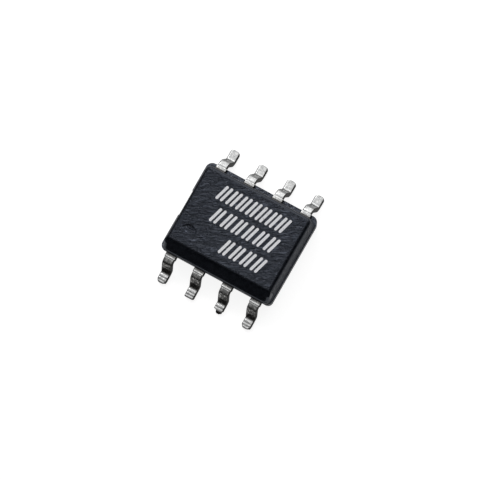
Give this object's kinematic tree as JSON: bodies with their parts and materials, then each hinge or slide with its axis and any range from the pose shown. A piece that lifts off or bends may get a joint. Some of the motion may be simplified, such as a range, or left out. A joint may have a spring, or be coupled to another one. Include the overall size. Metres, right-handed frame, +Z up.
{
  "type": "current sensor chip",
  "caption": "Black moulded small-outline current sensor chip with two rows of formed gull-wing leads, a bevelled edge and a copper current loop under its sensing die.",
  "frame": {"origin": "middle of the footprint on the seating plane that the feet stand on", "axes": "+X along the lead rows, from the first lead's end to the other; +Y across the rows, towards the signal leads; +Z up, out of the top face"},
  "size_m": [0.005, 0.006, 0.0016],
  "materials": {
    "mould_compound": "fine matte moulding compound",
    "tinned_copper": "satin tin plating, worn and scratched",
    "amber_film": "smooth amber film",
    "adhesive": "dull silver-filled adhesive",
    "silicon": "polished silicon",
    "gold_wire": "bright drawn wire"
  },
  "bodies": {
    "root": {"mould_body": "mould_compound", "primary_conductor": "tinned_copper", "signal_lead_5": "tinned_copper", "signal_lead_6": "tinned_copper", "signal_lead_7": "tinned_copper", "signal_lead_8": "tinned_copper", "insulating_film": "amber_film", "die_attach": "adhesive", "sensor_die": "silicon", "bond_wire_5": "gold_wire", "bond_wire_6": "gold_wire", "bond_wire_7": "gold_wire", "bond_wire_8": "gold_wire"}
  },
  "joints": []
}
